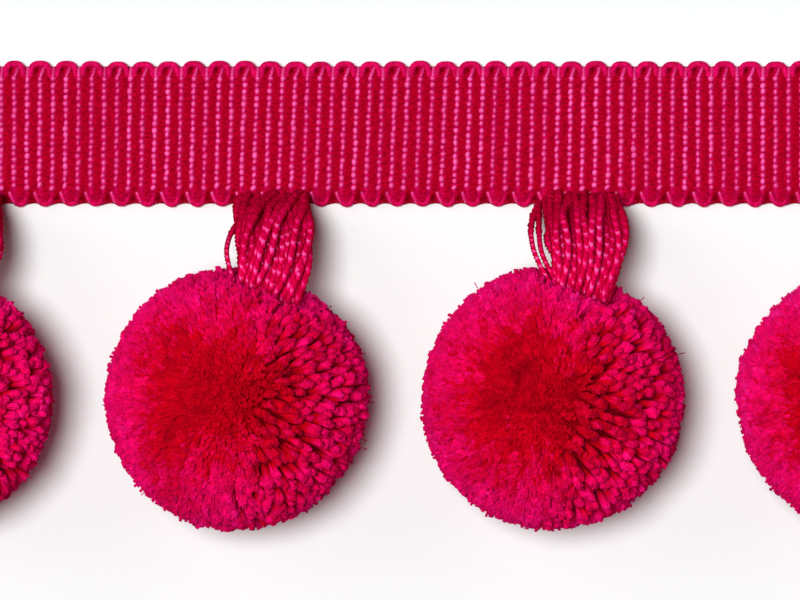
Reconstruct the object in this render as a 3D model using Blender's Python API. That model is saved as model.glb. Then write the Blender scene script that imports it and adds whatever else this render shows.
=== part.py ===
"""Pompom fringe trim: a cut length of ribbed braid with four pompoms on yarn skeins.

It lies face up on a flat surface. X runs along the braid, +Y points from the
pompoms to the braid's plain edge, and Z is up from the surface. Run it with
blender --background --python part.py, or from Blender's text editor.
"""

import math
from collections import namedtuple

import bmesh
import bpy
from mathutils import Matrix, Vector

# Everything is in metres.
POMPOM_RADIUS = 0.0128
POMPOM_PITCH = 0.0302
POMPOM_COUNT = 4
DROP = 0.0450  # from the braid's plain edge to the lowest tuft
TRIM_LENGTH = POMPOM_COUNT * POMPOM_PITCH
SEAT_GAP = 0.0003  # between one piece and the next

# The braid: one cord to a rib, turning back at both edges.
RIB_COUNT = 98
RIB_PITCH = TRIM_LENGTH / RIB_COUNT
BRAID_WIDTH = 0.0138
RIB_CREST = 0.0015
RIB_VALLEY = 0.0011
EDGE_HEIGHT = 0.6  # of the rib's height, where its end turns down
EDGE_ROUND = 0.0005
SCALLOP_DEPTH = 0.0004
RIB_LEAN = 0.00025  # the plain edge lies this far ahead of the fringed edge
POINTS_PER_RIB = 2

# The pompom: a core with four-sided locks of pile standing out of it.
CORE_RADIUS = 0.0096
LOCKS_ACROSS = 3  # on each of the six faces of the cube that is blown up to a ball
LOCK_ROOT_SHARE = 0.86
LOCK_SHOULDER_SHARE = 0.91
LOCK_TIP_SHARE = 0.60
LOCK_SHOULDER_DROP = 0.0009
LOCK_UNEVENNESS = 0.0002
LOCK_TWIST = math.radians(14)
REST_HEIGHT = 0.0125  # of the centre, on the level lock underneath
PARTING_DEPTH = 0.0026  # pile pushed in where the skein enters
PARTING_SPREAD = math.radians(26)
PARTING_TILT = math.radians(14)

# The skein: a loose bundle of yarn, fused into a head strip at the braid's edge.
STRANDS = 16
STRAND_RADIUS = 0.00024
STRAND_SIDES = 3
STRAND_STEPS = 6
HEAD_DEPTH = 0.0015
HEAD_HEIGHT = 0.0012
HEAD_OVERHANG = 0.00045
BULGE_AT = 0.50  # of the way from the braid to the pompom
ROOT_THICKNESS = 0.0008
BULGE_THICKNESS = 0.0027
NECK_THICKNESS = 0.0017
NECK_RISE = 0.0006  # of the skein's end above the pompom's centre
ROOT_LEAN = 0.0005  # the handles that bow the skein up into an arch
ROOT_LIFT = 0.0065
NECK_REACH = 0.0046
NECK_LIFT = 0.0003

# One row for each skein, from -X to +X. The shift is from its pompom to its root, the
# half widths are of the bundle, and the swing turns its way into the pompom towards +X.
Skein = namedtuple("Skein", "root_shift root_half bulge_half neck_half swing")
SKEINS = (
    Skein(0.0040, 0.0038, 0.0045, 0.0021, math.radians(18)),
    Skein(0.0036, 0.0036, 0.0039, 0.0024, math.radians(17)),
    Skein(0.0027, 0.0039, 0.0047, 0.0020, math.radians(15)),
    Skein(0.0031, 0.0037, 0.0043, 0.0022, math.radians(16)),
)

PLAIN_EDGE = DROP / 2
FRINGED_EDGE = PLAIN_EDGE - BRAID_WIDTH
POMPOM_Y = POMPOM_RADIUS - DROP / 2
HEAD_TOP = FRINGED_EDGE - SEAT_GAP


def clear_scene():
    for item in list(bpy.data.objects):
        bpy.data.objects.remove(item, do_unlink=True)


def yarn_material(name, colour, roughness):
    material = bpy.data.materials.new(name)
    material.use_nodes = True
    shader = material.node_tree.nodes["Principled BSDF"]
    shader.inputs["Base Color"].default_value = (*colour, 1.0)
    shader.inputs["Roughness"].default_value = roughness
    shader.inputs["Metallic"].default_value = 0.0
    material.diffuse_color = (*colour, 1.0)
    return material


def add_object(name, mesh_builder, material):
    mesh = bpy.data.meshes.new(name)
    mesh_builder.to_mesh(mesh)
    mesh_builder.free()
    mesh.materials.append(material)
    item = bpy.data.objects.new(name, mesh)
    bpy.context.scene.collection.objects.link(item)
    return item


def bridge_rings(builder, first, second):
    """Join two rings of points by a band of quads."""
    count = len(first)
    for i in range(count):
        j = (i + 1) % count
        builder.faces.new((first[i], first[j], second[j], second[i]))


def smooth_step(t):
    return t * t * (3 - 2 * t)


# ---- braid ----

def scallop(phase):
    """Depth of the edge's scallop, 0 at its peak and 1 in its notch, over two ribs."""
    return 1 - abs(math.sin(math.pi * phase))


def braid_section(x):
    """The braid's outline across its width, at one place along it."""
    ribs = x / RIB_PITCH
    crest = 0.5 + 0.5 * math.cos(2 * math.pi * (ribs - 0.5))
    height = RIB_VALLEY + (RIB_CREST - RIB_VALLEY) * crest
    plain = PLAIN_EDGE - SCALLOP_DEPTH * scallop((ribs - 0.5) / 2)
    fringed = FRINGED_EDGE + SCALLOP_DEPTH * scallop((ribs - 1.0) / 2)
    outline = (
        (fringed, 0.0),
        (plain, 0.0),
        (plain, height * EDGE_HEIGHT),
        (plain - EDGE_ROUND, height),
        (fringed + EDGE_ROUND, height),
        (fringed, height * EDGE_HEIGHT),
    )
    middle = (PLAIN_EDGE + FRINGED_EDGE) / 2
    return [
        (x + RIB_LEAN * (y - middle) / BRAID_WIDTH, y, z)
        for y, z in outline
    ]


def build_braid(material):
    builder = bmesh.new()
    steps = RIB_COUNT * POINTS_PER_RIB
    sections = []
    for i in range(steps + 1):
        x = TRIM_LENGTH * (i / steps - 0.5)
        sections.append([builder.verts.new(point) for point in braid_section(x)])
    for first, second in zip(sections, sections[1:]):
        bridge_rings(builder, first, second)
    builder.faces.new(reversed(sections[0]))
    builder.faces.new(sections[-1])
    bmesh.ops.recalc_face_normals(builder, faces=builder.faces)
    return add_object("braid", builder, material)


# ---- pompoms ----

def lock_reach(direction, index):
    """How far a lock's tip stands from the pompom's centre, shorter in the parting."""
    parting = Vector((0.0, math.cos(PARTING_TILT), math.sin(PARTING_TILT)))
    away = direction.angle(parting)
    pushed_in = PARTING_DEPTH * math.exp(-((away / PARTING_SPREAD) ** 2))
    uneven = LOCK_UNEVENNESS * math.sin(2.4 * index)
    return POMPOM_RADIUS - LOCK_UNEVENNESS - pushed_in + uneven


def neck_distance():
    """From the pompom's centre to the strands' ends, clear of the lock they meet."""
    return lock_reach(Vector((0.0, 1.0, 0.0)), 0) + LOCK_UNEVENNESS + SEAT_GAP


def ball_grid(builder):
    """A cube's faces cut into a grid and blown up to the core's sphere."""
    bmesh.ops.create_cube(builder, size=2.0)
    bmesh.ops.subdivide_edges(
        builder,
        edges=builder.edges[:],
        cuts=LOCKS_ACROSS - 1,
        use_grid_fill=True,
    )
    for vert in builder.verts:
        evened = Vector([math.tan(value * math.pi / 4) for value in vert.co])
        vert.co = evened.normalized() * CORE_RADIUS


def grow_lock(builder, cell, index):
    """Raise one four-sided lock from a cell of the core."""
    corners = list(cell.verts)
    middle = sum((vert.co for vert in corners), Vector()).normalized()
    reach = lock_reach(middle, index)
    underneath = middle.z < -0.99
    rings = (
        (LOCK_ROOT_SHARE, CORE_RADIUS),
        (LOCK_SHOULDER_SHARE, reach - LOCK_SHOULDER_DROP),
        (LOCK_TIP_SHARE, reach),
    )
    twist = Matrix.Rotation(LOCK_TWIST * math.sin(1.7 * index), 3, middle)
    below = corners
    builder.faces.remove(cell)
    for share, radius in rings:
        ring = []
        for corner in corners:
            way = middle.lerp(corner.co.normalized(), share).normalized()
            if share == LOCK_TIP_SHARE:
                way = twist @ way
            ring.append(builder.verts.new(way * radius))
        bridge_rings(builder, below, ring)
        below = ring
    if underneath:
        for vert in below:
            vert.co.z = -REST_HEIGHT
    builder.faces.new(below)


def build_pompom(number, material):
    builder = bmesh.new()
    ball_grid(builder)
    for index, cell in enumerate(builder.faces[:]):
        grow_lock(builder, cell, index)
    bmesh.ops.recalc_face_normals(builder, faces=builder.faces)
    swing = SKEINS[number].swing
    builder.transform(Matrix.Rotation(-swing, 4, "Z"))
    item = add_object(f"pompom_{number + 1}", builder, material)
    item.location = pompom_centre(number)
    return item


def pompom_centre(number):
    x = POMPOM_PITCH * (number - (POMPOM_COUNT - 1) / 2)
    return Vector((x, POMPOM_Y, REST_HEIGHT))


# ---- skeins ----

def even_angles(half_width, half_thickness, count):
    """Angles that share an ellipse's rim into equal lengths."""
    fine = 720
    angles = [2 * math.pi * i / fine for i in range(fine + 1)]
    rim = [Vector((half_width * math.cos(a), half_thickness * math.sin(a))) for a in angles]
    lengths = [0.0]
    for first, second in zip(rim, rim[1:]):
        lengths.append(lengths[-1] + (second - first).length)
    chosen = []
    for k in range(count):
        wanted = lengths[-1] * k / count
        place = next(i for i, length in enumerate(lengths) if length >= wanted)
        chosen.append(angles[place])
    return chosen


def skein_route(number):
    """Control points of the skein's middle line, from the braid up into the pompom."""
    row = SKEINS[number]
    centre = pompom_centre(number)
    inwards = Vector((math.sin(row.swing), math.cos(row.swing), 0.0))
    root = Vector((centre.x + row.root_shift, HEAD_TOP - HEAD_DEPTH / 2, HEAD_HEIGHT / 2))
    neck = centre + inwards * neck_distance() + Vector((0.0, 0.0, NECK_RISE))
    return (
        root,
        root + Vector((0.0, -ROOT_LEAN, ROOT_LIFT)),
        neck + inwards * NECK_REACH + Vector((0.0, 0.0, NECK_LIFT)),
        neck,
    )


def route_point(route, t):
    a, b, c, d = route
    s = 1 - t
    return a * s**3 + b * (3 * s * s * t) + c * (3 * s * t * t) + d * t**3


def route_frame(route, t):
    """Middle, sideways and upward directions of the skein at t from 0 to 1."""
    a, b, c, d = route
    s = 1 - t
    along = (b - a) * (3 * s * s) + (c - b) * (6 * s * t) + (d - c) * (3 * t * t)
    along.normalize()
    sideways = Vector((0.0, 0.0, 1.0)).cross(along).normalized()
    upward = along.cross(sideways).normalized()
    return route_point(route, t), sideways, upward, along


def bundle_size(row, t):
    """Half width and half thickness of the bundle at t."""
    if t < BULGE_AT:
        mix = smooth_step(t / BULGE_AT)
        width = row.root_half + (row.bulge_half - row.root_half) * mix
        thickness = ROOT_THICKNESS + (BULGE_THICKNESS - ROOT_THICKNESS) * mix
    else:
        mix = smooth_step((t - BULGE_AT) / (1 - BULGE_AT))
        width = row.bulge_half + (row.neck_half - row.bulge_half) * mix
        thickness = BULGE_THICKNESS + (NECK_THICKNESS - BULGE_THICKNESS) * mix
    return width, thickness / 2


def add_strand(builder, route, row, angle):
    """One three-sided strand of the bundle, closed at both ends."""
    rings = []
    for step in range(STRAND_STEPS + 1):
        t = step / STRAND_STEPS
        middle, sideways, upward, along = route_frame(route, t)
        half_width, half_thickness = bundle_size(row, t)
        place = middle + sideways * (half_width * math.cos(angle))
        place += upward * (half_thickness * math.sin(angle))
        ring = []
        for side in range(STRAND_SIDES):
            turn = angle + 2 * math.pi * side / STRAND_SIDES
            offset = sideways * math.cos(turn) + upward * math.sin(turn)
            ring.append(builder.verts.new(place + offset * STRAND_RADIUS))
        rings.append(ring)
    for first, second in zip(rings, rings[1:]):
        bridge_rings(builder, first, second)
    builder.faces.new(reversed(rings[0]))
    builder.faces.new(rings[-1])


def build_head(number, material):
    """The narrow strip that the strands are fused into, along the braid's edge."""
    row = SKEINS[number]
    builder = bmesh.new()
    bmesh.ops.create_cube(builder, size=1.0)
    size = Vector((2 * (row.root_half + HEAD_OVERHANG), HEAD_DEPTH, HEAD_HEIGHT))
    root = skein_route(number)[0]
    for vert in builder.verts:
        vert.co = root + Vector(a * b for a, b in zip(vert.co, size))
    return add_object(f"skein_{number + 1}", builder, material)


def build_skein(number, material):
    row = SKEINS[number]
    route = skein_route(number)
    builder = bmesh.new()
    for angle in even_angles(row.neck_half, NECK_THICKNESS / 2, STRANDS):
        add_strand(builder, route, row, angle)
    bmesh.ops.recalc_face_normals(builder, faces=builder.faces)
    strands = add_object(f"strands_{number + 1}", builder, material)
    strands.hide_render = True
    strands.display_type = "WIRE"
    head = build_head(number, material)
    fuse = head.modifiers.new("fuse", "BOOLEAN")
    fuse.operation = "UNION"
    fuse.solver = "EXACT"
    fuse.object = strands
    return head


def main():
    clear_scene()
    braid_yarn = yarn_material("braid_yarn", (0.46, 0.006, 0.045), 0.75)
    skein_yarn = yarn_material("skein_yarn", (0.50, 0.006, 0.060), 0.45)
    pompom_pile = yarn_material("pompom_pile", (0.50, 0.005, 0.050), 0.85)
    build_braid(braid_yarn)
    for number in range(POMPOM_COUNT):
        build_skein(number, skein_yarn)
        build_pompom(number, pompom_pile)


main()
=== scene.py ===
import math

import bpy
import numpy as np
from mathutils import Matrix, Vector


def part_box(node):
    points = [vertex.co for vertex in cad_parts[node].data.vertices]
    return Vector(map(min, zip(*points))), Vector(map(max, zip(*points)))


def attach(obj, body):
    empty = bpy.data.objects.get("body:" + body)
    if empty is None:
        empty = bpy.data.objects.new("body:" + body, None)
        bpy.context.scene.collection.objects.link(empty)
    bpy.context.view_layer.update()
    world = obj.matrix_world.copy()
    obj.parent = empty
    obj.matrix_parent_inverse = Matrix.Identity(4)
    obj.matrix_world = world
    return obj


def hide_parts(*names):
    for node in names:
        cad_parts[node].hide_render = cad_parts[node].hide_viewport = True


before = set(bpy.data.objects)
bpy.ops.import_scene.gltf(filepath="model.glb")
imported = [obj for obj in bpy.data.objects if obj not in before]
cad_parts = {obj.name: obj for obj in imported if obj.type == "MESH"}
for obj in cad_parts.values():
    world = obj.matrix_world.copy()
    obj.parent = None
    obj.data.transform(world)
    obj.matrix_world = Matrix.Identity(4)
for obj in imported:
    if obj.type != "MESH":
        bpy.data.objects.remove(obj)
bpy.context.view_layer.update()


# ---- Braid ----
# The heading of the trim is a narrow woven braid of matte crimson yarn. Its cords lie
# side by side across the width, with a groove between each two, and turn back at both
# edges in scallops.

braid_low, braid_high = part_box("braid")
trim_length = 0.1208
braid_width = 0.0138
cord_count = 98
cord_pitch = trim_length / cord_count
points_per_cord = 6
rows_across = 16
drift_size = 0.00028  # hand-fed weaving drifts to and fro along the braid
drift_every = 0.0925
least_lean = 0.00005  # and its cords lean, here more and there less
most_lean = 0.00055
lean_every = 0.0764
lean_start = 0.0037
straight_row = 0.0201  # the grooves don't lean in this row, and do below it
face_height = 0.00132
groove_depth = 0.00020
groove_sharpness = 8
sheet_thickness = 0.0011
edge_fall = 0.00075
edge_fall_width = 0.0011
edge_fall_curve = 1.5
scallop_depth = 0.00025
scallop_sharpness = 3
upper_inset = 0.00004
lower_inset = 0.00028
lobe_beside = 0.00070  # from an even groove to the middle of the lobe beside it
lobe_half_width = 0.0006
lobe_half_length = 0.0011
cord_tone = 0.4
groove_tone = 1.0
lobe_tone = 0.25  # added on the lobes of the fringed edge
hollow_depth = 0.00035

# The little holes beside the loops at both edges, sunk and painted dark as shade: from an even
# groove along the braid, in from the edge, and half the size along the braid and across it.
edge_holes = (
    dict(upper=True, beside=-0.00032, inwards=0.00058, half_width=0.00026, half_length=0.00034),
    dict(upper=False, beside=-0.00084, inwards=0.00060, half_width=0.00036, half_length=0.00046),
)


def from_even_groove(even_x):
    """How far a place along the braid lies from the nearest even groove."""
    return (even_x + cord_pitch) % (2 * cord_pitch) - cord_pitch


def woven_x(even_x, y):
    """Where a place along the braid really lies, with the weaving's drift and lean."""
    drift = drift_size * np.sin(2 * math.pi * even_x / drift_every)
    share = 0.5 + 0.5 * np.cos(2 * math.pi * (even_x + lean_start) / lean_every)
    lean = least_lean + (most_lean - least_lean) * share
    return even_x - drift - lean * (straight_row - y) / braid_width


bpy.ops.object.select_all(action="DESELECT")
bpy.ops.mesh.primitive_grid_add(
    x_subdivisions=cord_count * points_per_cord,
    y_subdivisions=rows_across,
    size=1.0,
)
braid = bpy.context.object
braid.name = "braid_heading"
grid = np.array([vert.co for vert in braid.data.vertices])
even_x = grid[:, 0] * trim_length
groove = even_x / cord_pitch
odd_groove = np.abs(np.sin(math.pi * groove / 2)) ** scallop_sharpness
lobe = 0.5 + 0.5 * np.cos(math.pi * (even_x - lobe_beside) / cord_pitch)
upper_edge = braid_high.y - upper_inset - scallop_depth * odd_groove
lower_edge = braid_low.y + lower_inset - scallop_depth * lobe
across = 0.5 + 0.5 * np.sin(math.pi * grid[:, 1])
place_y = lower_edge + (upper_edge - lower_edge) * across
to_edge = np.minimum(place_y - lower_edge, upper_edge - place_y)
fall = edge_fall * np.clip(1 - to_edge / edge_fall_width, 0, 1) ** edge_fall_curve
in_groove = np.abs(np.cos(math.pi * groove)) ** groove_sharpness
hollow = np.zeros(len(grid))
for hole in edge_holes:
    from_edge = upper_edge - place_y if hole["upper"] else place_y - lower_edge
    wide = from_even_groove(even_x - hole["beside"]) / hole["half_width"]
    deep = (from_edge - hole["inwards"]) / hole["half_length"]
    hollow += np.exp(-(wide**2) - deep**2)
wide = from_even_groove(even_x - lobe_beside) / lobe_half_width
deep = (place_y - lower_edge) / lobe_half_length
on_lobe = np.exp(-(wide**2) - deep**2)
height = face_height - groove_depth * in_groove - fall - hollow_depth * hollow
shaped = np.stack((woven_x(even_x, place_y), place_y, height), axis=1)
braid.data.vertices.foreach_set("co", shaped.ravel())
mark = braid.data.attributes.new("groove", "FLOAT", "POINT")
tone = cord_tone + (groove_tone - cord_tone) * in_groove + lobe_tone * on_lobe
# Painted shade: the tone falls to the darkest stop in the little holes at the edges.
tone = tone * (1 - np.minimum(hollow, 1))
mark.data.foreach_set("value", np.clip(tone, 0, 1))

wall = braid.modifiers.new("wall", "SOLIDIFY")
wall.thickness = sheet_thickness
wall.offset = -1.0
bpy.ops.object.modifier_apply(modifier="wall")
for vert in braid.data.vertices:
    vert.co.z = max(vert.co.z, 0.0)
bpy.ops.object.shade_smooth()

# Every yarn of the trim shows a fine uneven grain.
yarn_grain = bpy.data.node_groups.new("yarn_grain", "ShaderNodeTree")
yarn_grain.interface.new_socket("Grain Scale", in_out="INPUT", socket_type="NodeSocketVector")
yarn_grain.interface.new_socket("Relief", in_out="INPUT", socket_type="NodeSocketFloat")
yarn_grain.interface.new_socket("Tone", in_out="OUTPUT", socket_type="NodeSocketFloat")
yarn_grain.interface.new_socket("Normal", in_out="OUTPUT", socket_type="NodeSocketVector")
group_in = yarn_grain.nodes.new("NodeGroupInput")
group_out = yarn_grain.nodes.new("NodeGroupOutput")
place = yarn_grain.nodes.new("ShaderNodeTexCoord")
stretch = yarn_grain.nodes.new("ShaderNodeMapping")
speckle = yarn_grain.nodes.new("ShaderNodeTexNoise")
speckle.inputs["Scale"].default_value = 1.0
speckle.inputs["Detail"].default_value = 2.5
contrast = yarn_grain.nodes.new("ShaderNodeMapRange")
contrast.inputs["From Min"].default_value = 0.3
contrast.inputs["From Max"].default_value = 0.7
fuzz = yarn_grain.nodes.new("ShaderNodeBump")
fuzz.inputs["Distance"].default_value = 0.0001
yarn_grain.links.new(place.outputs["Object"], stretch.inputs["Vector"])
yarn_grain.links.new(group_in.outputs["Grain Scale"], stretch.inputs["Scale"])
yarn_grain.links.new(stretch.outputs["Vector"], speckle.inputs["Vector"])
yarn_grain.links.new(speckle.outputs["Fac"], contrast.inputs["Value"])
yarn_grain.links.new(contrast.outputs["Result"], group_out.inputs["Tone"])
yarn_grain.links.new(speckle.outputs["Fac"], fuzz.inputs["Height"])
yarn_grain.links.new(group_in.outputs["Relief"], fuzz.inputs["Strength"])
yarn_grain.links.new(fuzz.outputs["Normal"], group_out.inputs["Normal"])


def yarn_material(
    name, value, tones, grain, relief, roughness, lustre=0.0, sheen=0.0, mottled=(0.78, 1.15)
):
    """A yarn whose colour runs through tones by a stored value: its dye, and painted shade and
    highlights where the value carries them.
    """
    made = bpy.data.materials.new(name)
    made.use_nodes = True
    nodes = made.node_tree.nodes
    links = made.node_tree.links
    surface = nodes["Principled BSDF"]
    surface.inputs["Roughness"].default_value = roughness
    surface.inputs["Specular IOR Level"].default_value = lustre
    surface.inputs["Specular Tint"].default_value = (1.0, 0.50, 0.80, 1.0)
    surface.inputs["Sheen Weight"].default_value = sheen
    surface.inputs["Sheen Roughness"].default_value = 0.5
    surface.inputs["Sheen Tint"].default_value = (1.0, 0.01, 0.18, 1.0)
    reader = nodes.new("ShaderNodeAttribute")
    reader.attribute_name = value
    spun = nodes.new("ShaderNodeGroup")
    spun.node_tree = yarn_grain
    spun.inputs["Grain Scale"].default_value = grain
    spun.inputs["Relief"].default_value = relief
    dyed = nodes.new("ShaderNodeValToRGB")
    while len(dyed.color_ramp.elements) < len(tones):
        dyed.color_ramp.elements.new(0.5)
    for element, (position, colour) in zip(dyed.color_ramp.elements, tones):
        element.position = position
        element.color = (*colour, 1.0)
    uneven = nodes.new("ShaderNodeMix")
    uneven.data_type = "RGBA"
    uneven.blend_type = "MULTIPLY"
    uneven.inputs["Factor"].default_value = 1.0
    mottle = nodes.new("ShaderNodeMapRange")
    mottle.inputs["To Min"].default_value = mottled[0]
    mottle.inputs["To Max"].default_value = mottled[1]
    links.new(reader.outputs["Fac"], dyed.inputs["Fac"])
    links.new(spun.outputs["Tone"], mottle.inputs["Value"])
    links.new(dyed.outputs["Color"], uneven.inputs["A"])
    links.new(mottle.outputs["Result"], uneven.inputs["B"])
    links.new(uneven.outputs["Result"], surface.inputs["Base Color"])
    links.new(spun.outputs["Normal"], surface.inputs["Normal"])
    return made


# The ramp's darkest stop is the painted shade in the little holes at the braid's edges.
weave_finish = yarn_material(
    "matte_crimson_weave",
    "groove",
    ((0.0, (0.11, 0.0, 0.003)), (0.4, (0.37, 0.0004, 0.015)), (1.0, (0.55, 0.0020, 0.080))),
    grain=(2400.0, 4800.0, 2400.0),
    relief=0.6,
    roughness=0.9,
    mottled=(0.62, 1.32),
)
braid.data.materials.clear()
braid.data.materials.append(weave_finish)
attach(braid, "root")
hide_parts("braid")


# ---- Shiny thread in the grooves ----
# A shiny pink twisted thread fills every groove of the braid. Each turn of its twist
# catches the light, so it reads as a row of beads.

turns_per_thread = 18
first_turn = 0.00150  # from the braid's upper edge
last_turn = 0.00176  # from the fringed edge, in an odd groove
last_turn_even = 0.00205
turn_size = (0.00053, 0.00061, 0.00043)  # across the thread, along it, and high
turn_growth = (0.80, 1.16)
turn_slip = 0.006  # along the thread, as a share of its length
turn_wander = 0.00005  # across the thread
turn_slant = math.radians(14)
turn_slant_range = (-0.3, 1.8)
last_slant = math.radians(48)
last_slant_even = math.radians(19.2)
thread_height = face_height - 0.00010
thread_tones = (0.25, 1.0)
turn_tones = (0.35, 1.15)

bpy.ops.object.select_all(action="DESELECT")
bpy.ops.mesh.primitive_uv_sphere_add(segments=6, ring_count=4, radius=0.5)
turn = bpy.context.object
turn_points = np.array([vert.co for vert in turn.data.vertices])[:, (0, 2, 1)]
turn_faces = []
for face in turn.data.polygons:
    corners = tuple(face.vertices)[::-1]
    first = corners.index(min(corners))
    turn_faces.append(corners[first:] + corners[:first])
turn_faces.sort()
bpy.data.objects.remove(turn)


def new_piece(name, points, faces, **values):
    """A smooth-shaded piece from its points, arrays of faces, and values at the points."""
    corners = np.concatenate([rows.ravel() for rows in faces])
    sizes = np.concatenate([np.full(len(rows), rows.shape[1]) for rows in faces])
    mesh = bpy.data.meshes.new(name)
    mesh.vertices.add(len(points))
    mesh.vertices.foreach_set("co", np.ascontiguousarray(points, np.float32).ravel())
    mesh.loops.add(len(corners))
    mesh.loops.foreach_set("vertex_index", corners.astype(np.int32))
    mesh.polygons.add(len(sizes))
    starts = np.concatenate(([0], np.cumsum(sizes)[:-1]))
    mesh.polygons.foreach_set("loop_start", starts.astype(np.int32))
    mesh.polygons.foreach_set("use_smooth", np.ones(len(sizes), bool))
    for value_name, numbers in values.items():
        stored = mesh.attributes.new(value_name, "FLOAT", "POINT")
        stored.data.foreach_set("value", np.ascontiguousarray(numbers, np.float32).ravel())
    mesh.update(calc_edges=True)
    piece = bpy.data.objects.new(name, mesh)
    bpy.context.scene.collection.objects.link(piece)
    return piece


random = np.random.default_rng(41)
grooves = np.arange(1 - cord_count // 2, cord_count // 2)
thread_points = []
thread_shade = []
for groove_number in grooves:
    even = groove_number % 2 == 0
    last_y = braid_low.y + (last_turn_even if even else last_turn)
    first_y = braid_high.y - first_turn
    tone = random.uniform(*thread_tones)
    for step in range(turns_per_thread):
        share = step / (turns_per_thread - 1) + random.uniform(-turn_slip, turn_slip)
        y = first_y + (last_y - first_y) * share
        slant = turn_slant * random.uniform(*turn_slant_range)
        if step == turns_per_thread - 1:
            slant = last_slant_even if even else last_slant
        grown = turn_points * turn_size * random.uniform(*turn_growth, 3)
        across = grown[:, 0] * math.cos(slant) + grown[:, 1] * math.sin(slant)
        along = grown[:, 1] * math.cos(slant) - grown[:, 0] * math.sin(slant)
        x = woven_x(groove_number * cord_pitch, y) + random.uniform(-turn_wander, turn_wander)
        thread_points.append(
            np.stack((x + across, y + along, thread_height + grown[:, 2]), axis=1)
        )
        thread_shade.append(np.full(len(grown), tone * random.uniform(*turn_tones)))

turn_starts = np.arange(len(thread_points))[:, None, None] * len(turn_points)
thread_faces = []
for size in (3, 4):
    rows = np.array([face for face in turn_faces if len(face) == size])
    thread_faces.append((turn_starts + rows).reshape(-1, size))
thread = new_piece(
    "braid_thread",
    np.concatenate(thread_points),
    thread_faces,
    shade=np.concatenate(thread_shade),
)
thread_finish = yarn_material(
    "shiny_pink_thread",
    "shade",
    ((0.0, (0.68, 0.010, 0.15)), (1.0, (1.00, 0.10, 0.42))),
    grain=(5000.0, 5000.0, 5000.0),
    relief=0.1,
    roughness=0.42,
    lustre=1.0,
)
thread.data.materials.append(thread_finish)
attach(thread, "root")


# ---- Loops at the edges of the braid ----
# Two cords at a time turn back at the braid's edges in a soft round loop of matte
# magenta yarn. The shiny threads run on over the loops and into the edge.

loop_steps = 16
loop_sides = 7
loop_tones = (0.2, 1.0)
upper_yarn = 0.00033
upper_loop_half_width = 0.00090
upper_loop_inset = 0.00140  # of its two feet, from the upper edge
upper_tip_inset = 0.00006
upper_loop_roundness = 0.66  # under 1 it is squarer than an ellipse
upper_loop_height = 0.00104
upper_tip_height = 0.00074
lower_yarn = 0.00031
lower_loop_beside = 0.00066  # from an even groove, at the last turn of its thread
end_steps = 7
end_sides = 5
end_yarn = 0.00017
end_tones = (0.0, 0.45)
loop_wander = 0.00005

# A lower loop: points from its middle along the braid, in from the fringed edge, and up
# from the floor.
lower_loop = (
    (-0.00100, 0.00120, 0.00105),
    (-0.00088, 0.00070, 0.00090),
    (-0.00050, 0.00024, 0.00062),
    (0.00002, 0.00008, 0.00054),
    (0.00036, 0.00030, 0.00062),
    (0.00044, 0.00076, 0.00082),
    (0.00038, 0.00116, 0.00076),
)

# Each thread runs over the edge and down: three points at the upper edge, from the
# thread's first turn along the braid and outwards and from the floor up, and three at
# the fringed edge, measured as the lower loop is.
even_end = (
    (0.0, 0.0002, face_height - 0.00004),
    (0.00022, 0.0005, face_height),
    (0.00034, 0.0011, upper_tip_height + 0.0001),
)
odd_end = (
    (0.0, 0.0002, face_height),
    (0.00002, 0.0006, face_height - 0.00008),
    (0.00004, 0.00108, upper_tip_height + 0.00012),
)
lower_end = (
    (-0.00112, 0.00140, face_height - 0.00010),
    (-0.00102, 0.00090, 0.00118),
    (-0.00068, 0.00034, 0.00084),
)


def tube_faces(tubes, rings, sides):
    """The faces of closed tubes whose points are numbered ring by ring."""
    number = np.arange(tubes * rings * sides).reshape(tubes, rings, sides)
    low, high = number[:, :-1], number[:, 1:]
    walls = np.stack((low, np.roll(low, -1, 2), np.roll(high, -1, 2), high), axis=-1)
    return [walls.reshape(-1, 4), number[:, 0, ::-1], number[:, -1]]


def tube_rings(paths, radius, sides):
    """Rings of points along each of many paths, an array of (paths, points, 3)."""
    forward = np.gradient(paths, axis=1)
    forward /= np.linalg.norm(forward, axis=2, keepdims=True)
    side = np.cross(forward, (0.0, 0.0, 1.0))
    side /= np.linalg.norm(side, axis=2, keepdims=True)
    up = np.cross(side, forward)
    turn = np.arange(sides) * 2 * math.pi / sides
    around = (
        side[:, :, None] * np.cos(turn)[:, None] - up[:, :, None] * np.sin(turn)[:, None]
    )
    return paths[:, :, None] + around * np.asarray(radius)[..., None, None]


def smooth_path(points, steps):
    """A smooth path with this many points, drawn through or near a short row of points."""
    points = np.asarray(points, float)
    gaps = np.linalg.norm(np.diff(points, axis=0), axis=1)
    place = np.concatenate(([0.0], np.cumsum(gaps)))
    fine = np.linspace(0, place[-1], steps)
    path = np.stack([np.interp(fine, place, points[:, axis]) for axis in range(3)], axis=1)
    for _ in range(steps // 2):
        path[1:-1] = (path[:-2] + 2 * path[1:-1] + path[2:]) / 4
    return path


def upper_loop(middle_x, tip_y, half_width):
    """One flattened arch, from one foot over its tip to the other."""
    foot_y = braid_high.y - upper_loop_inset
    turn = np.linspace(math.pi, 0, loop_steps)
    aside = np.sign(np.cos(turn)) * np.abs(np.cos(turn)) ** upper_loop_roundness
    out = np.sin(turn) ** upper_loop_roundness
    x = middle_x + half_width * aside
    y = foot_y + (tip_y - foot_y) * out
    z = upper_loop_height + (upper_tip_height - upper_loop_height) * out
    return np.stack((x, y, z), axis=1)


def placed(points, middle, axis, nudges):
    """A row of points set about a middle, each nudged a little along one axis."""
    moved = np.array(points) + middle
    moved[:, axis] += nudges
    return moved


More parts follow.
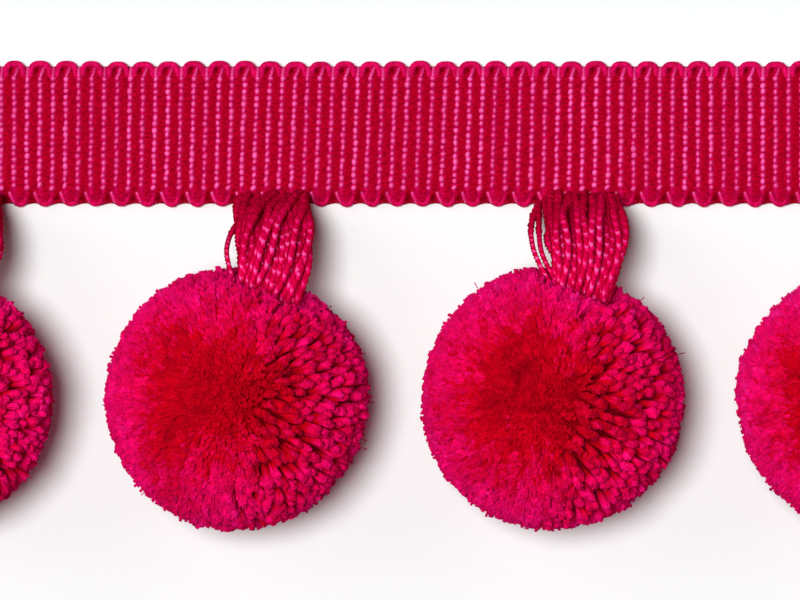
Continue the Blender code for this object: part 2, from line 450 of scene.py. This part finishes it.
random = np.random.default_rng(7)
upper_loops = []
lower_loops = []
thread_ends = []
for groove_number in grooves:
    top_y = braid_high.y - first_turn
    top = (woven_x(groove_number * cord_pitch, top_y), top_y, 0.0)
    low_x = woven_x(groove_number * cord_pitch, braid_low.y + last_turn)
    uneven = random.uniform(-1, 1, 8) * loop_wander
    bend = (0.0, uneven[3], uneven[4])
    if groove_number % 2:
        thread_ends.append(placed(odd_end, top, 0, bend))
        continue
    tip_y = braid_high.y - upper_tip_inset + uneven[1]
    upper_loops.append(upper_loop(top[0] + uneven[0], tip_y, upper_loop_half_width + uneven[2]))
    thread_ends.append(placed(even_end, top, 0, bend))
    if groove_number < grooves[-1]:
        low = (low_x + lower_loop_beside + uneven[5], braid_low.y, 0.0)
        bulge = (0, 0, uneven[5], 2 * uneven[6], uneven[6], 0, 0)
        lower_loops.append(smooth_path(placed(lower_loop, low, 1, bulge), loop_steps))
        thread_ends.append(placed(lower_end, low, 0, (0, 0, uneven[7])))

upper_rings = tube_rings(np.array(upper_loops), np.array(upper_yarn), loop_sides)
lower_rings = tube_rings(np.array(lower_loops), np.array(lower_yarn), loop_sides)
loop_rings = np.concatenate((upper_rings, lower_rings))
edge_loops = new_piece(
    "edge_loops",
    loop_rings.reshape(-1, 3),
    tube_faces(len(loop_rings), loop_steps, loop_sides),
    shade=random.uniform(*loop_tones, loop_rings.size // 3),
)
loop_finish = yarn_material(
    "matte_magenta_yarn",
    "shade",
    ((0.0, (0.40, 0.0005, 0.028)), (1.0, (0.78, 0.0022, 0.120))),
    grain=(3600.0, 3600.0, 3600.0),
    relief=0.5,
    roughness=0.7,
    lustre=0.06,
)
edge_loops.data.materials.append(loop_finish)
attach(edge_loops, "root")

t = np.linspace(0, 1, end_steps)
blend = np.stack(((1 - t) ** 2, 2 * t * (1 - t), t**2), axis=1)
end_paths = np.einsum("sk,nkc->nsc", blend, np.array(thread_ends))
end_rings = tube_rings(end_paths, np.array(end_yarn), end_sides)
edge_threads = new_piece(
    "edge_threads",
    end_rings.reshape(-1, 3),
    tube_faces(len(end_rings), end_steps, end_sides),
    shade=np.repeat(random.uniform(*end_tones, len(end_rings)), end_steps * end_sides),
)
edge_threads.data.materials.append(thread_finish)
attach(edge_threads, "root")


# ---- Skeins ----
# Each pompom hangs from a slack skein of shiny two-ply yarn, its glints painted on as
# highlights, which rises out of the braid's lower edge, bows outwards, and then gathers into
# the pompom.

pompom_pitch = 0.0302
pompom_radius = 0.0126
pompom_height = 0.0125
pompom_y = -0.0098
yarn_steps = 66
slack_from = 0.52  # the yarn is matted where it leaves the braid, and loosens about here
slack_within = 0.035
slack = 1 / (1 + np.exp((slack_from - np.linspace(0, 1, yarn_steps)) / slack_within))
ply_radius = 0.00042 - 0.00010 * slack  # matted plies are thick and lie close
ply_offset = 0.00006 + 0.00007 * slack
matting = 0.00006 * (1 - slack)
ply_sides = 5
steps_per_turn = 4
# Painted highlight: how far each ply's colour lightens with the height of its crest, one ply
# more than the other.
bright_ply_highlight = 1.14
dim_ply_highlight = 0.66
slack_highlight_share = 0.45  # of the painted highlight comes only past the steep climb from the braid, where the yarn lies flatter
yarn_tones = (-0.12, 0.04)
stray_thickness = 0.66
outer_yarns = 18
inner_yarns = 11
inner_spread = 0.86  # of the skein's half width
inner_depth = 0.1  # of the skein's half depth
outer_tuck = 0.35  # every other outer yarn lies this much deeper at the neck
outer_sway = 0.00022
inner_sway = 0.00006
yarn_dip = 0.00014
yarn_waves = (0.7, 1.8)  # from end to end of a yarn
rim_steps = 400
root_scatter = 0.0003
twist_range = 0.25
bulge_at = 0.55
root_half_depth = 0.0004
bulge_half_depth = 0.0015
neck_half_depth = 0.0011
root_tuck = 0.0007  # how far the yarn runs in under the braid's edge
root_height = 0.0009
root_reach = 0.0008  # the root's and the neck's handles bow the skein into an arch
root_lift = 0.0085
neck_reach = 0.0058
neck_lift = 0.0022
neck_depth = 0.0098  # of the skein's end, from the pompom's middle
neck_height = 0.0010
past_neck = 0.07  # the yarns run on by this share into the pompom

# One row for each skein: how far its root lies along the braid from its pompom, half its
# width at the root, the bulge and the neck, the way it leaves the pompom, in degrees
# towards +X, and its twist in radians.
skein_rows = (
    dict(shift=0.0036, root=0.0033, bulge=0.0036, neck=0.0024, swing=18, twist=0.9),
    dict(shift=0.0031, root=0.0033, bulge=0.0033, neck=0.0027, swing=17, twist=1.6),
    dict(shift=0.0028, root=0.0033, bulge=0.0036, neck=0.0026, swing=15, twist=0.3),
    dict(shift=0.0029, root=0.0033, bulge=0.0035, neck=0.0023, swing=16, twist=1.1),
)

# Stray yarns stand away from the skein: points from root to pompom, measured from the
# pompom's middle along the braid, from the trim's middle across it, and from the floor.
stray_rows = (
    dict(
        skein=0,
        points=(
            (0.0004, 0.0086, 0.002),
            (-0.0006, 0.0060, 0.009),
            (0.0, 0.0022, 0.0145),
        ),
    ),
    dict(
        skein=1,
        points=(
            (0.0000, 0.0088, 0.0015),
            (0.0002, 0.0074, 0.005),
            (-0.0008, 0.0058, 0.009),
            (-0.0011, 0.0042, 0.0125),
            (-0.0008, 0.0030, 0.014),
            (-0.0004, 0.0016, 0.0145),
        ),
    ),
    dict(
        skein=2,
        points=(
            (-0.0012, 0.0090, 0.0015),
            (-0.0018, 0.0078, 0.0045),
            (-0.0021, 0.0062, 0.009),
            (-0.0019, 0.0044, 0.0125),
            (-0.0012, 0.0028, 0.014),
            (-0.0003, 0.0012, 0.0145),
        ),
    ),
    dict(
        skein=2,
        points=(
            (-0.0012, 0.0088, 0.0015),
            (-0.0013, 0.0062, 0.009),
            (-0.0012, 0.0044, 0.0125),
            (-0.0006, 0.0029, 0.014),
            (0.0003, 0.0014, 0.0145),
        ),
    ),
    dict(
        skein=3,
        points=(
            (-0.0006, 0.0086, 0.002),
            (-0.0014, 0.0058, 0.009),
            (-0.0004, 0.0022, 0.0145),
        ),
    ),
)


def pompom_centre(number):
    """The middle of one pompom."""
    return np.array((pompom_pitch * (number - 1.5), pompom_y, pompom_height))


def smooth_steps(t):
    """An eased ramp from 0 to 1."""
    t = np.clip(t, 0, 1)
    return t * t * (3 - 2 * t)


def even_angles(wide, deep, count):
    """Angles that share out the rim of an ellipse evenly."""
    angle = np.linspace(0, 2 * math.pi, rim_steps)
    rim = np.hypot(np.diff(wide * np.cos(angle)), np.diff(deep * np.sin(angle)))
    length = np.concatenate(([0.0], np.cumsum(rim)))
    return np.interp(np.arange(count) / count * length[-1], length, angle)


def skein_paths(number):
    """The middle lines of one skein's yarns, strays included."""
    row = skein_rows[number]
    random = np.random.default_rng(100 + number)
    swing = math.radians(row["swing"])
    centre = pompom_centre(number)
    outwards = np.array((math.sin(swing), math.cos(swing), 0.0))
    neck = centre + outwards * neck_depth + (0.0, 0.0, neck_height)
    handles = np.array(
        (
            (centre[0] + row["shift"], braid_low.y + root_tuck, root_height),
            (centre[0] + row["shift"], braid_low.y - root_reach, root_lift),
            neck + outwards * neck_reach + (0.0, 0.0, neck_lift),
            neck,
        )
    )
    t = np.linspace(0, 1 + past_neck, yarn_steps)[:, None]
    blend = np.hstack(((1 - t) ** 3, 3 * t * (1 - t) ** 2, 3 * t * t * (1 - t), t**3))
    middle = blend @ handles
    forward = np.gradient(middle, axis=0)
    forward /= np.linalg.norm(forward, axis=1, keepdims=True)
    sideways = np.cross((0.0, 0.0, 1.0), forward)
    sideways /= np.linalg.norm(sideways, axis=1, keepdims=True)
    upward = np.cross(forward, sideways)
    rise = smooth_steps(t / bulge_at)
    gather = smooth_steps((t - bulge_at) / (1 - bulge_at))
    half_width = row["root"] + (row["bulge"] - row["root"]) * rise
    half_width = half_width + (row["neck"] - row["bulge"]) * gather
    half_depth = root_half_depth + (bulge_half_depth - root_half_depth) * rise
    half_depth = half_depth + (neck_half_depth - bulge_half_depth) * gather
    outer = even_angles(row["bulge"], bulge_half_depth, outer_yarns)
    inner = np.arccos(np.linspace(-inner_spread, inner_spread, inner_yarns))
    steps = np.arange(yarn_steps)
    gaps = np.linalg.norm(np.diff(middle, axis=0), axis=1)
    place = np.concatenate(((0.0,), np.cumsum(gaps)))
    even = np.interp(np.linspace(0, place[-1], yarn_steps), place, steps)
    paths = []
    for count, angle in enumerate((*outer, *inner)):
        is_outer = count < outer_yarns
        depth = 1 - outer_tuck * (count % 2) * gather if is_outer else inner_depth
        sway = outer_sway if is_outer else inner_sway
        waves = random.uniform(*yarn_waves, 2)
        starts = random.uniform(0, 1, 2)
        twist = row["twist"] + random.uniform(-twist_range, twist_range)
        angle = angle + t * twist * is_outer
        wave = sway * np.sin(2 * math.pi * (t * waves[0] + starts[0])) * rise
        dip = yarn_dip * np.sin(2 * math.pi * (t * waves[1] + starts[1]))
        aside = half_width * np.cos(angle) + wave
        lift = half_depth * np.sin(angle) * depth + dip
        path = middle + sideways * aside + upward * lift
        path[:, 1] += (1 - rise[:, 0]) ** 2 * random.uniform(-root_scatter, root_scatter)
        paths.append(np.stack([np.interp(even, steps, path[:, axis]) for axis in range(3)], 1))
    for stray in stray_rows:
        if stray["skein"] == number:
            points = np.array(stray["points"]) + (centre[0], 0.0, 0.0)
            paths.append(smooth_path(points, yarn_steps))
    return np.array(paths)


def two_ply(paths, random):
    """Rings of points for two twisted plies along many paths, and the painted highlight on each.
    """
    forward = np.gradient(paths, axis=1)
    forward /= np.linalg.norm(forward, axis=2, keepdims=True)
    side = np.cross(forward, (0.0, 0.0, 1.0))
    side /= np.linalg.norm(side, axis=2, keepdims=True)
    up = np.cross(side, forward)
    thick = np.ones((len(paths), 1))
    thick[outer_yarns + inner_yarns :] = stray_thickness
    step = np.arange(yarn_steps) + random.integers(0, steps_per_turn, (len(paths), 1))
    plies = []
    for start, painted_highlight in ((0, bright_ply_highlight), (math.pi, dim_ply_highlight)):
        spin = (2 * math.pi / steps_per_turn * step + start)[..., None]
        beside = side * np.cos(spin) + up * np.sin(spin)
        middle = paths + (thick * ply_offset)[..., None] * beside
        rings = tube_rings(middle, thick * ply_radius, ply_sides)
        rings = rings + random.normal(0, 1, rings.shape) * matting[:, None, None]
        # Painted light and shade: each point is lighter the higher it stands above the yarn's
        # middle, so the crest facing up is painted as a highlight and the underside stays dark.
        lift = ((rings - paths[:, :, None]) * up[:, :, None]).sum(axis=3)
        plies.append((rings, painted_highlight * lift / (thick * (ply_radius + ply_offset))[..., None]))
    return [np.concatenate(part) for part in zip(*plies)]


# The ramp's top stop is the painted highlight on the ply crests, and its low stops the painted
# shade beneath them; the yarn itself has no gloss.
skein_finish = yarn_material(
    "skein_yarn_painted_highlights",
    "shade",
    (
        (0.0, (0.42, 0.0004, 0.018)),
        (0.50, (0.62, 0.0010, 0.050)),
        (0.78, (0.88, 0.0034, 0.140)),
        (0.94, (1.00, 0.13, 0.46)),
    ),
    grain=(4000.0, 4000.0, 4000.0),
    relief=0.15,
    roughness=0.40,
    lustre=0.0,
)
for number in range(len(skein_rows)):
    random = np.random.default_rng(20 + number)
    rings, painted_highlight = two_ply(skein_paths(number), random)
    tones_and_highlights = np.tile(random.uniform(*yarn_tones, len(rings) // 2), 2)[:, None, None]
    # The painted highlights fade in along the yarn, weaker where it climbs steeply from the
    # braid.
    highlight_weight = 1 - slack_highlight_share + slack_highlight_share * slack[:, None]
    tones_and_highlights = tones_and_highlights + np.clip(painted_highlight, 0, 1) * highlight_weight
    skein = new_piece(
        f"skein_yarn_{number + 1}",
        rings.reshape(-1, 3),
        tube_faces(len(rings), yarn_steps, ply_sides),
        shade=np.clip(tones_and_highlights, 0, 1).ravel(),
    )
    skein.data.materials.append(skein_finish)
    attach(skein, "root")
    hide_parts(f"skein_{number + 1}")


# ---- Pompoms ----
# A pompom is a ball of cut yarn ends tied at its heart. Every end has fluffed out
# into a tuft of fine fibres, and the pile parts where the skein goes in.

tuft_count = 2000
tuft_jitter = 0.014
tuft_trim = 0.00022
lump_size = 0.00004
lump_fineness = 5.0
short_by = 0.0011
tuft_head = 0.00042  # half the width of a tuft that stands apart
tuft_head_range = (0.66, 1.06)
tuft_room = 0.00058  # half the room that each tuft has
tuft_dome = 0.00034
tuft_lean = 0.0005
fan_unevenness = 0.12
stretch_range = (0.85, 1.15)
fibres_per_tuft = 20
fibre_length = 0.0022
fibre_radius = 0.00018
flown_share = 0.0012  # of the fibres stand up out of the pile
flown_reach = (0.0003, 0.0010)
flown_thinner = 0.65
least_tip_height = 0.00002
least_foot_height = 0.00016
facing_unevenness = 0.14
body_unevenness = 0.00006
parting_depth = 0.0026
parting_spread = math.radians(19)
parting_squareness = 4
parting_tilt = math.radians(14.5)
ruffled_side = np.array((0.96, -0.16, -0.12))
ruffled_from = -0.20
ruffled_within = 0.46
level_from = -0.2  # underneath, the pile is pressed smooth
level_within = 0.5
crown_side = np.array((-0.25, 0.04, 0.967))

# In each pair the first value is for the smooth pile, and the second for the side where
# the tufts stand apart.
tuft_unevenness = (0.00006, 0.00016)
short_share = (0.012, 0.092)
tuft_stretch = (1.98, 1.38)
tuft_stray = (0.00018, 0.00032)
foot_width = (0.85, 0.65)  # of the tip's
fibre_stray = (0.00010, 0.00004)
tip_unevenness = (0.00012, 0.00007)
fan_facing = (0.0, 0.9)
round_facing = (0.6, 0.9)
body_buried = (0.0007, 0.0022)
# Painted shade: where the tufts stand apart, the feet are near black as the gaps between them,
# and the cut ends deeper than the sides, as where one looks into the fibres.
foot_tones = (0.88, 0.08)
side_tones = (0.88, 0.845)
cut_tones = (0.88, 0.67)

# How the tone changes over a pompom: painted shade makes it deepest at the crown, where one
# looks down into the pile, and a little darker towards -Y; painted light makes it paler
# underneath; and it is uneven from tuft to tuft and from fibre to fibre. The body has a share
# of the pile's, none where the tufts stand apart, so the gaps there show painted shade.
crown_painted_shade = 0.57
crown_painted_shade_kept = (1.0, 0.7)  # on the smooth pile, and where the tufts stand apart
crown_sharpness = 3.6
lower_painted_shade = 0.06
under_painted_light = 0.25
wave_tone = 0.028
wave_fineness = 6.0
wave_count = 6
tuft_tone_range = 0.06
fibre_tone_range = 0.05
body_tone = 0.70
body_tone_range = 0.03


def by_side(pair, apart):
    """A value that runs from the smooth pile's to that of tufts which stand apart."""
    return pair[0] + (pair[1] - pair[0]) * apart


def ruffled(ways):
    """How far the tufts stand apart each way: 1 on the ruffled side, 0 where it is smooth."""
    above = smooth_steps((ways[:, 2] - level_from) / level_within)
    return smooth_steps((ways @ ruffled_side - ruffled_from) / ruffled_within) * above


def crown_shade(ways):
    """How near each way is to the crown, where the pile is painted deepest red as shade."""
    return np.clip(ways @ crown_side, 0, 1) ** crown_sharpness


def tangents(ways):
    """Two directions square to each way and to each other."""
    helper = np.where(np.abs(ways[..., 2:]) < 0.9, (0.0, 0.0, 1.0), (1.0, 0.0, 0.0))
    first = np.cross(ways, helper)
    first /= np.linalg.norm(first, axis=-1, keepdims=True)
    return first, np.cross(ways, first)


def pile_reach(ways, swing):
    """Length of the pile each way: shorter in the parting, and where it rests."""
    parting = np.array(
        (
            math.sin(swing) * math.cos(parting_tilt),
            math.cos(swing) * math.cos(parting_tilt),
            math.sin(parting_tilt),
        )
    )
    away = np.arccos(np.clip(ways @ parting, -1, 1))
    inside = np.exp(-((away / parting_spread) ** parting_squareness))
    reach = pompom_radius - parting_depth * inside
    to_floor = pompom_height / np.maximum(-ways[:, 2], 0.01)
    return np.minimum(reach, to_floor)


def waves_over(ways, random, fineness):
    """A slow uneven swell over the ball, its size about two either way."""
    swell = np.zeros(len(ways))
    for wave in random.normal(0, fineness, (wave_count, 3)):
        swell += np.cos(ways @ wave + random.uniform(0, 2 * math.pi))
    return swell


def tuft_directions(random):
    """The way each tuft points: evenly shared over the ball, then nudged."""
    step = np.arange(tuft_count) + 0.5
    polar = np.arccos(1 - 2 * step / tuft_count)
    turn = math.pi * (1 + math.sqrt(5)) * step
    ways = np.stack(
        (np.sin(polar) * np.cos(turn), np.sin(polar) * np.sin(turn), np.cos(polar)), axis=1
    )
    ways += random.normal(0, tuft_jitter, ways.shape)
    return ways / np.linalg.norm(ways, axis=1, keepdims=True)


def tuft_reach(ways, apart, swing, random):
    """How far each tuft stands out from the pompom's middle."""
    lumps = lump_size * waves_over(ways, random, lump_fineness)
    uneven = lumps + random.normal(0, 1, tuft_count) * by_side(tuft_unevenness, apart)
    short = random.random(tuft_count) < by_side(short_share, apart)
    return pile_reach(ways, swing) - tuft_trim + uneven - short_by * short


def tuft_fibres(ways, apart, reach, random):
    """Tips and feet of each tuft's fibres, the way each fans out, and which have flown."""
    shape = (tuft_count, fibres_per_tuft)
    head = tuft_head * random.uniform(*tuft_head_range, (tuft_count, 1))
    step = np.arange(fibres_per_tuft) + 0.5
    out = np.sqrt(step / fibres_per_tuft)
    turn = math.pi * (3 - math.sqrt(5)) * step + random.uniform(0, 2 * math.pi, (tuft_count, 1))
    stretch = by_side(tuft_stretch, apart) * random.uniform(*stretch_range, (tuft_count, 1))
    a = out * np.cos(turn) * stretch + random.normal(0, fan_unevenness, shape)
    b = out * np.sin(turn) / stretch + random.normal(0, fan_unevenness, shape)
    combed = ways * (ways @ crown_side)[:, None] - crown_side
    combed += random.normal(0, fan_unevenness, ways.shape)
    combed -= ways * (ways * combed).sum(axis=1, keepdims=True)
    length = np.linalg.norm(combed, axis=1, keepdims=True)
    combed /= length
    beside = np.cross(ways, combed)
    fan = combed[:, None] * a[..., None] + beside[:, None] * b[..., None]
    stray = by_side(tuft_stray, apart) * random.normal(0, 1, (tuft_count, 2))
    leaning = tuft_lean * np.minimum(1, 2 * length) * (1 + apart)
    lean = combed * (leaning + stray[:, :1]) + beside * stray[:, 1:]
    tip_reach = reach[:, None] - tuft_dome * apart * out**2
    tip_reach = tip_reach + random.normal(0, 1, shape) * by_side(tip_unevenness, apart)
    flown = random.random(shape) < flown_share
    tip_reach = tip_reach + flown * random.uniform(*flown_reach, shape)
    tip_width = head * apart + tuft_room * (1 - apart)
    foot_reach = tip_reach - fibre_length
    tips = ways[:, None] * tip_reach[..., None] + fan * tip_width[..., None] + lean[:, None]
    tips += random.normal(0, 1, tips.shape) * by_side(fibre_stray, apart)[..., None]
    feet = ways[:, None] * foot_reach[..., None]
    feet += fan * (by_side(foot_width, apart) * tip_width)[..., None]
    tips[..., 2] = np.maximum(tips[..., 2], least_tip_height - pompom_height)
    feet[..., 2] = np.maximum(feet[..., 2], least_foot_height - pompom_height)
    return tips.reshape(-1, 3), feet.reshape(-1, 3), fan, flown.ravel()


def fibre_corners(tips, feet, flown, random):
    """Three corners round each fibre's tip and one at its foot, and the ways round the tip."""
    along = tips - feet
    along /= np.linalg.norm(along, axis=1, keepdims=True)
    first, second = tangents(along)
    turn = np.arange(3) * 2 * math.pi / 3 + random.uniform(0, 2 * math.pi, (len(tips), 1))
    around = first[:, None] * np.cos(turn)[..., None] + second[:, None] * np.sin(turn)[..., None]
    radius = fibre_radius * (1 - flown_thinner * flown)
    ends = tips[:, None] + around * radius[:, None, None]
    return np.concatenate((ends, feet[:, None]), axis=1).reshape(-1, 3), around


def fibre_facing(ways, apart, fan, around, random):
    """The way each corner of each fibre faces for the light: a tuft is shaded as one head."""
    outwards = (ways[:, None] + by_side(fan_facing, apart)[..., None] * fan).reshape(-1, 3)
    outwards += random.normal(0, facing_unevenness, outwards.shape)
    roundness = np.repeat(by_side(round_facing, apart), fibres_per_tuft, axis=0)
    ends = outwards[:, None] + roundness[:, None] * around
    return np.concatenate((ends, outwards[:, None]), axis=1).reshape(-1, 3)


def fibre_tones(ways, apart, random):
    """Tones of each fibre's faces, painted shade and light included, corner by corner: three
    sides, then the cut end.
    """
    tone = wave_tone * waves_over(ways, random, wave_fineness)
    tone = tone + random.normal(0, tuft_tone_range, tuft_count)
    # Painted shade: deepest red at the crown, where one looks down into the pile.
    tone = tone - crown_painted_shade * crown_shade(ways) * by_side(crown_painted_shade_kept, apart[:, 0])
    # Painted shade: a little darker towards -Y, the side away from the light.
    tone = tone - lower_painted_shade * np.clip(-ways[:, 1], 0, 1)
    # Painted light: the underside is paler, so that it throws more pink onto the floor beside
    # the pompom.
    tone = tone + under_painted_light * np.clip(-ways[:, 2], 0, 1)
    tone = tone[:, None] + random.normal(0, fibre_tone_range, (tuft_count, fibres_per_tuft))
    tones = np.repeat((by_side(side_tones, apart) + tone).reshape(-1, 1), 12, axis=1)
    tones = tones.reshape(-1, 4, 3)
    tones[:, 3] = (by_side(cut_tones, apart) + tone).reshape(-1, 1)
    tones[:, :3, 2] = (by_side(foot_tones, apart) + tone).reshape(-1, 1)
    return tones.ravel()


def pile_body(swing, random):
    """The dense body that closes the pile under its fibres, and its tones point by point."""
    apart = ruffled(ball_ways)
    buried = by_side(body_buried, apart) + random.normal(0, body_unevenness, len(ball_ways))
    body = ball_ways * (pile_reach(ball_ways, swing) - buried)[:, None]
    # Painted shade: the body is darker than the pile, darkest under the crown, and near black
    # where the tufts stand apart.
    tones = foot_tones[0] - crown_painted_shade * crown_shade(ball_ways)
    tones = body_tone * tones * (1 - apart) + random.normal(0, body_tone_range, len(body))
    return body, np.clip(tones, 0, 1)


pile_finish = yarn_material(
    "fluffy_cut_pile",
    "height",
    (
        (0.0, (0.14, 0.0, 0.003)),
        (0.53, (0.56, 0.0005, 0.010)),
        (0.93, (0.98, 0.0030, 0.175)),
        (1.0, (1.0, 0.014, 0.26)),
    ),
    grain=(900.0, 900.0, 900.0),
    relief=0.0,
    roughness=0.9,
    sheen=0.5,
)
bpy.ops.object.select_all(action="DESELECT")
bpy.ops.mesh.primitive_ico_sphere_add(subdivisions=4, radius=1.0)
ball = bpy.context.object
ball_ways = np.array([vert.co for vert in ball.data.vertices])
ball_ways /= np.linalg.norm(ball_ways, axis=1, keepdims=True)
ball_faces = np.array([tuple(face.vertices) for face in ball.data.polygons])
bpy.data.objects.remove(ball)
fibre_sides = np.array(((1, 0, 3), (2, 1, 3), (0, 2, 3), (0, 1, 2)))  # the last is the cut end

for number in range(len(skein_rows)):
    random = np.random.default_rng(500 + number)
    centre = pompom_centre(number)
    swing = math.radians(skein_rows[number]["swing"])
    ways = tuft_directions(random)
    apart = ruffled(ways)[:, None]
    reach = tuft_reach(ways, apart[:, 0], swing, random)
    tips, feet, fan, flown = tuft_fibres(ways, apart, reach, random)
    fibres, around = fibre_corners(tips, feet, flown, random)
    facing = fibre_facing(ways, apart, fan, around, random)
    tones = fibre_tones(ways, apart, random)
    body, body_tones = pile_body(swing, random)
    starts = 4 * np.arange(len(tips))[:, None, None]
    fibre_faces = (starts + fibre_sides).reshape(-1, 3)

    pompom = new_piece(
        f"pompom_pile_{number + 1}",
        np.concatenate((fibres, body)) + centre,
        [fibre_faces, ball_faces + len(fibres)],
    )
    tones = np.concatenate((tones, body_tones[ball_faces].ravel()))
    # The "height" value holds each corner's tone, painted shade and painted light included.
    stored = pompom.data.attributes.new("height", "FLOAT", "CORNER")
    stored.data.foreach_set("value", np.clip(tones, 0, 1).astype(np.float32))
    facing = np.concatenate((facing, ball_ways))
    facing /= np.linalg.norm(facing, axis=1, keepdims=True)
    pompom.data.normals_split_custom_set_from_vertices(facing)
    pompom.data.materials.append(pile_finish)
    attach(pompom, "root")
    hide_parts(f"pompom_{number + 1}")


# ---- Floor, light and camera ----
# A white sheet lies underneath. There is a broad soft light almost overhead, a weaker
# one from the left, and a long lens straight above.

floor_size = 3.0
floor_drop = 0.00002

bpy.ops.object.select_all(action="DESELECT")
bpy.ops.mesh.primitive_plane_add(size=floor_size, location=(0.0, 0.0, -floor_drop))
floor = bpy.context.object
floor.name = "floor"
white = bpy.data.materials.new("white_paper")
white.use_nodes = True
paper = white.node_tree.nodes["Principled BSDF"]
paper.inputs["Base Color"].default_value = (0.842, 0.86, 0.858, 1.0)
paper.inputs["Roughness"].default_value = 0.9
paper.inputs["Specular IOR Level"].default_value = 0.2
floor.data.materials.append(white)


def soft_light(name, turned, elevation, spread, strength):
    """A broad far light from the -X side, turned about the upright and raised in degrees."""
    lamp = bpy.data.lights.new(name, "SUN")
    lamp.energy = strength
    lamp.color = (0.98, 1.0, 1.0)
    lamp.angle = math.radians(spread)
    item = bpy.data.objects.new(name, lamp)
    item.rotation_euler = (0.0, math.radians(elevation - 90.0), math.radians(turned))
    bpy.context.scene.collection.objects.link(item)


soft_light("key_light", turned=-14.0, elevation=81.5, spread=16.0, strength=3.15)
soft_light("left_light", turned=-24.0, elevation=38.0, spread=40.0, strength=0.60)

world = bpy.data.worlds.new("studio")
world.use_nodes = True
world.node_tree.nodes["Background"].inputs["Color"].default_value = (1.0, 1.0, 1.0, 1.0)
world.node_tree.nodes["Background"].inputs["Strength"].default_value = 0.07
bpy.context.scene.world = world
bpy.context.scene.view_settings.view_transform = "Standard"

view_middle = (0.00048, -0.00038)
view_width = 0.0770  # of the object, across the picture
view_height = 0.0060  # above the floor, where that width is measured
lens = 500.0
sensor = 36.0
camera_data = bpy.data.cameras.new("camera")
camera_data.lens = lens
camera_data.sensor_width = sensor
camera_data.clip_start = 0.01
camera_data.clip_end = 5.0
camera = bpy.data.objects.new("camera", camera_data)
camera.location = (*view_middle, view_height + view_width * lens / sensor)
bpy.context.scene.collection.objects.link(camera)
bpy.context.scene.camera = camera
